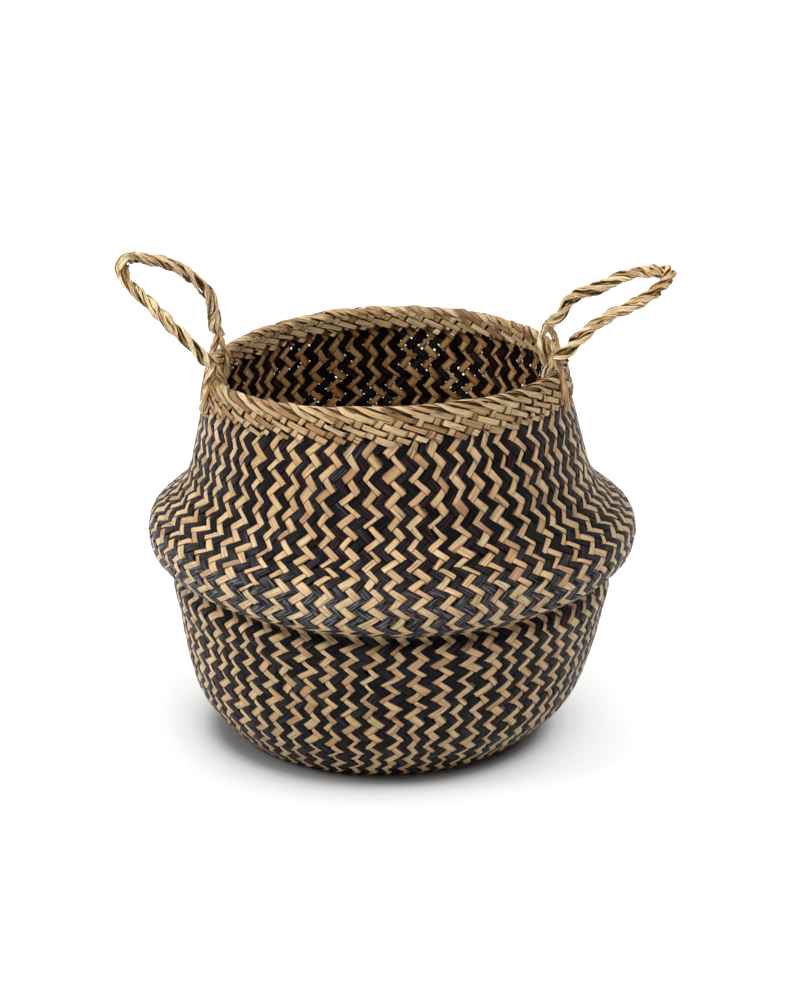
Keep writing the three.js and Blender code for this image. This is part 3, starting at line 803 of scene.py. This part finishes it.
def crest_strips():
    """Short strips that lie on the top of the rim, half a room further on, and tuck in between the
    turned ones at both ends."""
    way = np.linspace(*CREST_ENDS, CREST_STEPS)
    turn = arc_turn(way)
    free = np.clip(np.minimum(way - way[0], way[-1] - way) / CREST_FREE, 0, 1)
    aside = wander(RIM_STRIPS, way, *CREST_SWAY)
    start = OUTER_CUT * SHALLOW_RUN + HALF_ARC * OVER_RUN
    angle = rim_turns + np.pi / RIM_STRIPS - (start + CREST_RUN * way + aside) / NECK_TOP[0]
    puff = rng.uniform(*CREST_PUFF, (RIM_STRIPS, 1)) * free - CREST_TUCK * (1 - free)
    radius = ROLL_RADIUS + np.cos(turn) * (CREST_ARC[0] + puff)
    centre = around(angle, radius, ROLL_FOOT + np.sin(turn) * (CREST_ARC[1] + puff))
    tip = wander(RIM_STRIPS, way, *CREST_ROCK)
    wide = CREST_WIDTH * (CREST_END_SHARE + (1 - CREST_END_SHARE) * free)
    wide = wide * (1 + wander(RIM_STRIPS, way, *CREST_SWELL))
    rings = carry(settle(centre), tipped(angle, turn, tip), wide / 2, CREST_HALF_THICK)
    # Painted shade at the tucked ends.
    return strip_skin(rings, CREST_WIDTH, CREST_TUCKED_SHADE * (1 - free))


def core_strips():
    """Long strips that lie inside the turn all the way round and close what the others leave
    open. They are painted dark as shade inside the turn."""
    angle = np.linspace(0, 2 * np.pi, CORE_STEPS) + CORE_STARTS
    level = ROLL_FOOT + CORE_RISES + CORE_WANDER * np.sin(CORE_WAVES * angle)
    centre = around(angle, ROLL_RADIUS + CORE_ASIDE, level)
    rings = carry(settle(centre), around(angle, 1, 0 * angle), *CORE_HALF)
    return strip_skin(rings, 2 * CORE_HALF[0], CORE_PAINTED_SHADE)


add_piece("turned_edge", [turned_strips(), crest_strips(), core_strips()], band_strip, "collar",
          ("rim_edge_roll",))


# Ropes.

# Leaves of a rope: plies, leaves in a ply, how far a ply lies off the rope's middle and a leaf off
# its ply's, and half the width and half the thickness of a leaf.
HANDLE_LEAVES = (3, 2, 0.0026, 0.0011, 0.0021, 0.0012)
HANDLE_WRAPS = (3, 1, 0.0032, 0.0010, 0.0017, 0.0005)
LASHING_LEAVES = (2, 2, 0.0014, 0.0010, 0.0018, 0.0008)

# Unevenness of the ropes, as wave lengths and size, and the narrowest and widest that a leaf gets.
PLY_SWAY = ((0.06, 0.021), 0.25)
LEAF_SWAY = ((0.045, 0.026), 0.7)
LEAF_LOOSE = ((0.032, 0.014), 0.45)
LEAF_SWELL = ((0.024, 0.041, 0.013), 0.55)
LEAF_LIMITS = (0.45, 1.45)
ROPE_SWELL = ((0.055, 0.023), 0.12)
PLY_TILT = 0.5

# Steps of a handle, how slim its ends are, over what length, and a direction to start its frame.
HANDLE_STEPS = 260
HANDLE_END_SHARE = 0.75
HANDLE_END = 0.008
FRAME_START = (0.3, 0.1, 1.0)

# A ply of a lashing, from the handle down into the neck's slot: how far it lies off the wall's
# middle, how far about the rim, and its height.
LASHING_ROUTE = np.array([
    (0.0008, 0.0000, HINGE_LEVEL + 0.0030), (0.0016, 0.0008, HINGE_LEVEL - 0.0010),
    (0.0026, 0.0012, 0.2892), (0.0052, 0.0010, 0.2850), (0.0064, 0.0002, 0.2780),
    (0.0064, -0.0004, 0.2680), (0.0060, -0.0008, 0.2605), (0.0045, -0.0008, 0.2565),
    (0.0010, -0.0006, 0.2553),
])
LASHING_LINE_STEPS = 16
LASHING_STEPS = 90
LASHING_FLAT = 0.7
LASHING_TOP, LASHING_TOP_SHARE = 0.004, 0.7
LASHING_END, LASHING_END_SHARE = 0.010, 0.5


def twisted_leaves(path, across, square, at, size,
                   plies, leaves, ply_off, leaf_off, half_width, half_thick):
    """Leaves twisted into plies and plies into a rope. Leaf j of ply i lies at path + ply off * a +
    leaf off * b, where a turns once in the rope's pitch and b once in the leaf's, both in the plane
    across the path, and every leaf wanders and swells by itself."""
    ply = np.repeat(np.arange(plies), leaves)[:, None]
    leaf = np.tile(np.arange(leaves), plies)[:, None]
    count = leaves * plies

    def facing(turn):
        return np.cos(turn)[..., None] * across + np.sin(turn)[..., None] * square

    swing = np.repeat(wander(plies, at, *PLY_SWAY), leaves, axis=0)
    ply_way = facing(2 * np.pi * (ply / plies + at / ROPE_PITCH) + swing)
    leaf_turn = 2 * np.pi * (ply / plies + leaf / leaves + at / LEAF_PITCH)
    leaf_way = facing(leaf_turn + wander(count, at, *LEAF_SWAY))
    loose = 1 + wander(count, at, *LEAF_LOOSE)
    aside = ply_off * ply_way + (leaf_off * loose)[..., None] * leaf_way
    swell = 1 + wander(count, at, *LEAF_SWELL)
    wide = half_width * size * np.clip(swell, *LEAF_LIMITS)
    rings = carry(path + size[..., None] * aside, leaf_way + PLY_TILT * ply_way, wide,
                  half_thick * size, LEAF)
    # Painted shade: leaves that lie lower or slimmer than the rest are darker, and so are each
    # leaf's edges and back, where the notches between leaves lie.
    low = np.clip(1 - loose, 0, 1) + np.clip(1 - swell, 0, 1)
    painted_shade = np.clip(low[..., None] + LEAF_SHADE, 0, 1)
    return strip_skin(rings, 2 * half_width, painted_shade, LEAF)


def carried_frame(path):
    """Two directions square to a path and to each other, carried along it without twist."""
    ahead = unit(np.gradient(path, axis=0))
    across = np.empty_like(path)
    across[0] = unit(np.cross(ahead[0], FRAME_START))
    for i in range(1, len(path)):
        across[i] = unit(across[i - 1] - np.dot(across[i - 1], ahead[i]) * ahead[i])
    return across, np.cross(ahead, across)


def hinge_place(side, leg_angle):
    """Distance aside and height of a handle's hinge line, which follows the unlevel rim."""
    front = (0 if side > 0 else np.pi) - side * leg_angle
    return side * ROLL_RADIUS * math.cos(leg_angle), HINGE_LEVEL + float(rim_rise(front))


def handle_path(name, side, leg_angle, lean, reach, front_bow, back_bow, tip):
    """Middle line of a handle: the leg shares times reach, spread and bow, leant out about its
    hinge line; and the length up to each of its points."""
    half_spread = ROLL_RADIUS * math.sin(leg_angle)

    def leg(face_name, face, bow):
        shares = np.array(LEG_SHARES[name, face_name])
        return np.stack([-side * shares[:, 2] * bow, face * shares[:, 1] * half_spread,
                         shares[:, 0] * reach], axis=1)

    route = np.vstack([leg("front", -1, front_bow), [[0, -tip * half_spread, reach]],
                       leg("back", 1, back_bow)[::-1]])
    path, at = spread(smooth_line(route), HANDLE_STEPS)
    cos, sin = math.cos(side * lean), math.sin(side * lean)
    x = path[:, 0] * cos + path[:, 2] * sin
    z = -path[:, 0] * sin + path[:, 2] * cos
    aside, height = hinge_place(side, leg_angle)
    return np.stack([x + aside, path[:, 1], z + height], axis=1), at


def handle(name, *sizes):
    """A rope of three plies along the handle's middle line, a little slimmer towards its ends."""
    path, at = handle_path(name, *sizes)
    across, square = carried_frame(path)
    from_end = np.clip(np.minimum(at, at[-1] - at) / HANDLE_END, 0, 1)
    size = HANDLE_END_SHARE + (1 - HANDLE_END_SHARE) * from_end
    size = size * (1 + wander(1, at, *ROPE_SWELL))[0]
    skins = [twisted_leaves(path, across, square, at, size, *leaves)
             for leaves in (HANDLE_LEAVES, HANDLE_WRAPS)]
    add_piece(name + "_rope", skins, rope_leaf, name + "_loop",
              (name + "_handle",), ridges=LEAF_RIDGES)


def lashing(name, side, leg_angle, face):
    """The parted end of a rope: one ply goes down outside the band and through the wall, the other
    one inside."""
    middle = (0 if side > 0 else np.pi) + face * side * leg_angle
    skins = []
    for way in (1, -1):
        route = LASHING_ROUTE * (way, 1, 1)
        line, at = spread(smooth_line(route, LASHING_LINE_STEPS), LASHING_STEPS)
        wall = neck_radius(np.minimum(line[:, 2], NECK_TOP[1])) - WALL_THICK / 2
        radius = wall + line[:, 0]
        path = settle(around(middle + line[:, 1] / radius, radius, line[:, 2]))
        out = around(middle, way + 0 * radius, 0 * radius)
        tangent = around(middle + np.pi / 2, 1 + 0 * radius, 0 * radius)
        size = (np.clip(at / LASHING_TOP, LASHING_TOP_SHARE, 1)
                * np.clip((at[-1] - at) / LASHING_END, LASHING_END_SHARE, 1))
        skins.append(twisted_leaves(path, tangent, LASHING_FLAT * out, at, size, *LASHING_LEAVES))
    add_piece(name, skins, rope_leaf, "collar", (name,), ridges=LEAF_RIDGES)


for handle_name, (side, leg_angle, *rest) in HANDLES.items():
    handle(handle_name, side, leg_angle, *rest)
    for face_name, face in (("front", -1), ("back", 1)):
        lashing(f"{handle_name}_{face_name}_lashing", side, leg_angle, face)


# Floor, light and camera.

# How white the floor glows to the camera, by distance from the middle of the basket's shade up to a
# reach, which paints a soft shadow round the foot, how pale it is to the camera and to all other
# rays, and its own half breadth.
PAINTED_SHADOW_MIDDLE = (-0.006, -0.002, 0.0)
FLOOR_GLOW_AND_PAINTED_SHADOW = [(0.113, 0.0), (0.120, 0.05), (0.126, 0.24), (0.133, 0.46), (0.143, 0.62),
              (0.158, 0.74), (0.205, 0.90), (0.480, 1.0)]
GLOW_REACH = 0.5
FLOOR_SEEN = 0.22
FLOOR_LIT = 0.66
FLOOR_REACH = 6.0

# Light from all sides, and how white it shows in gloss from in front, and between which directions
# it turns white.
ROOM_LIT = 0.24
GLOSS_FRONT = 0.22
GLOSS_TURN = (-0.35, 0.15)

# Lamps: place, breadth and power. All shine at one point.
LAMPS = {
    "key_light": ((-1.9, -0.9, 2.0), 0.9, 53),
    "fill_light": ((1.8, -0.8, 2.5), 1.3, 21),
    "top_light": ((0.3, -1.8, 2.2), 1.0, 23),
    "back_light": ((-0.6, 2.1, 2.1), 1.3, 24),
}
LAMP_TARGET = Vector((0, 0, 0.15))

# Camera: distance and elevation from a point this high on the middle line, lens and shift.
CAMERA_DISTANCE = 2.5
CAMERA_ELEVATION = math.radians(19.774705)
CAMERA_LEVEL = 0.14
CAMERA_LENS = {"sensor_width": 36, "lens": 121.3, "shift_x": 0.01306, "shift_y": 0.0434,
               "clip_end": 50}


def place_object(name, data):
    """An object for the data, in the scene."""
    obj = bpy.data.objects.new(name, data)
    bpy.context.collection.objects.link(obj)
    return obj


def grey(share):
    """A grey with its alpha."""
    return share, share, share, 1


def floor():
    """A wide pale floor that shows white to the camera, keeps the basket's shadow and has a soft
    shadow painted round the basket's foot.
    """
    mesh = bpy.data.meshes.new("floor")
    corners = [(-FLOOR_REACH, -FLOOR_REACH, 0), (FLOOR_REACH, -FLOOR_REACH, 0),
               (FLOOR_REACH, FLOOR_REACH, 0), (-FLOOR_REACH, FLOOR_REACH, 0)]
    mesh.from_pydata(corners, [], [(0, 1, 2, 3)])
    material = bpy.data.materials.new("floor_white")
    material.use_nodes = True
    tree = material.node_tree
    tree.nodes.clear()
    path = node(tree, "ShaderNodeLightPath").outputs
    shade = blend_colour(tree, "MIX", path["Is Camera Ray"], grey(FLOOR_LIT), grey(FLOOR_SEEN))
    diffuse = node(tree, "ShaderNodeBsdfDiffuse", Color=shade).outputs[0]
    # Painted shadow: the floor's glow is dark close to the basket and grows with distance from the
    # middle of its shade.
    here = node(tree, "ShaderNodeTexCoord").outputs["Object"]
    away = node(tree, "ShaderNodeVectorMath", {"operation": "DISTANCE"}, i0=here, i1=PAINTED_SHADOW_MIDDLE)
    strength = ramp(tree, maths(tree, "DIVIDE", away.outputs["Value"], GLOW_REACH),
                    [(distance / GLOW_REACH, (share,) * 3) for distance, share in FLOOR_GLOW_AND_PAINTED_SHADOW])
    glow = node(tree, "ShaderNodeEmission", Color=grey(1), Strength=strength).outputs[0]
    dark = node(tree, "ShaderNodeEmission", Color=grey(0), Strength=0.0).outputs[0]
    seen = maths(tree, "MAXIMUM", path["Is Camera Ray"], path["Is Glossy Ray"])
    added = node(tree, "ShaderNodeMixShader", i0=seen, i1=dark, i2=glow).outputs[0]
    both = node(tree, "ShaderNodeAddShader", i0=diffuse, i1=added).outputs[0]
    node(tree, "ShaderNodeOutputMaterial", Surface=both)
    mesh.materials.append(material)
    place_object("floor", mesh)


def room_light():
    """Even light from all sides, which shows white to the camera. In gloss it is white behind the
    basket and dimmer in front, where the lamps and the camera stand."""
    world = bpy.data.worlds.new("room")
    bpy.context.scene.world = world
    world.use_nodes = True
    tree = world.node_tree
    tree.nodes.clear()
    path = node(tree, "ShaderNodeLightPath").outputs
    shown = maths(tree, "MAXIMUM", path["Is Camera Ray"], path["Is Transmission Ray"])
    shown = maths(tree, "MAXIMUM", shown, path["Is Glossy Ray"])
    lit = node(tree, "ShaderNodeBackground", Color=grey(1), Strength=ROOM_LIT).outputs[0]
    away = node(tree, "ShaderNodeTexCoord").outputs["Generated"]
    back = node(tree, "ShaderNodeSeparateXYZ", i0=away).outputs[1]
    behind = node(tree, "ShaderNodeMapRange", i0=back, i1=GLOSS_TURN[0], i2=GLOSS_TURN[1],
                  i3=GLOSS_FRONT, i4=1.0).outputs[0]
    not_gloss = maths(tree, "SUBTRACT", 1.0, path["Is Glossy Ray"])
    strength = maths(tree, "MAXIMUM", behind, not_gloss)
    white = node(tree, "ShaderNodeBackground", Color=grey(1), Strength=strength).outputs[0]
    both = node(tree, "ShaderNodeMixShader", i0=shown, i1=lit, i2=white).outputs[0]
    node(tree, "ShaderNodeOutputWorld", Surface=both)


def lamp(name, place, breadth, power):
    """A round soft lamp that shines at the basket."""
    light = bpy.data.lights.new(name, "AREA")
    light.shape = "DISK"
    light.size = breadth
    light.energy = power
    obj = place_object(name, light)
    obj.location = place
    obj.rotation_euler = (LAMP_TARGET - Vector(place)).to_track_quat("-Z", "Y").to_euler()


def camera():
    """A long lens that looks down at the basket from the front."""
    data = bpy.data.cameras.new("camera")
    for key, value in CAMERA_LENS.items():
        setattr(data, key, value)
    obj = place_object("camera", data)
    obj.location = (0, -CAMERA_DISTANCE * math.cos(CAMERA_ELEVATION),
                    CAMERA_LEVEL + CAMERA_DISTANCE * math.sin(CAMERA_ELEVATION))
    obj.rotation_euler = (math.pi / 2 - CAMERA_ELEVATION, 0, 0)
    bpy.context.scene.camera = obj


floor()
room_light()
for lamp_name, lamp_sizes in LAMPS.items():
    lamp(lamp_name, *lamp_sizes)
camera()
bpy.context.scene.view_settings.view_transform = "Standard"
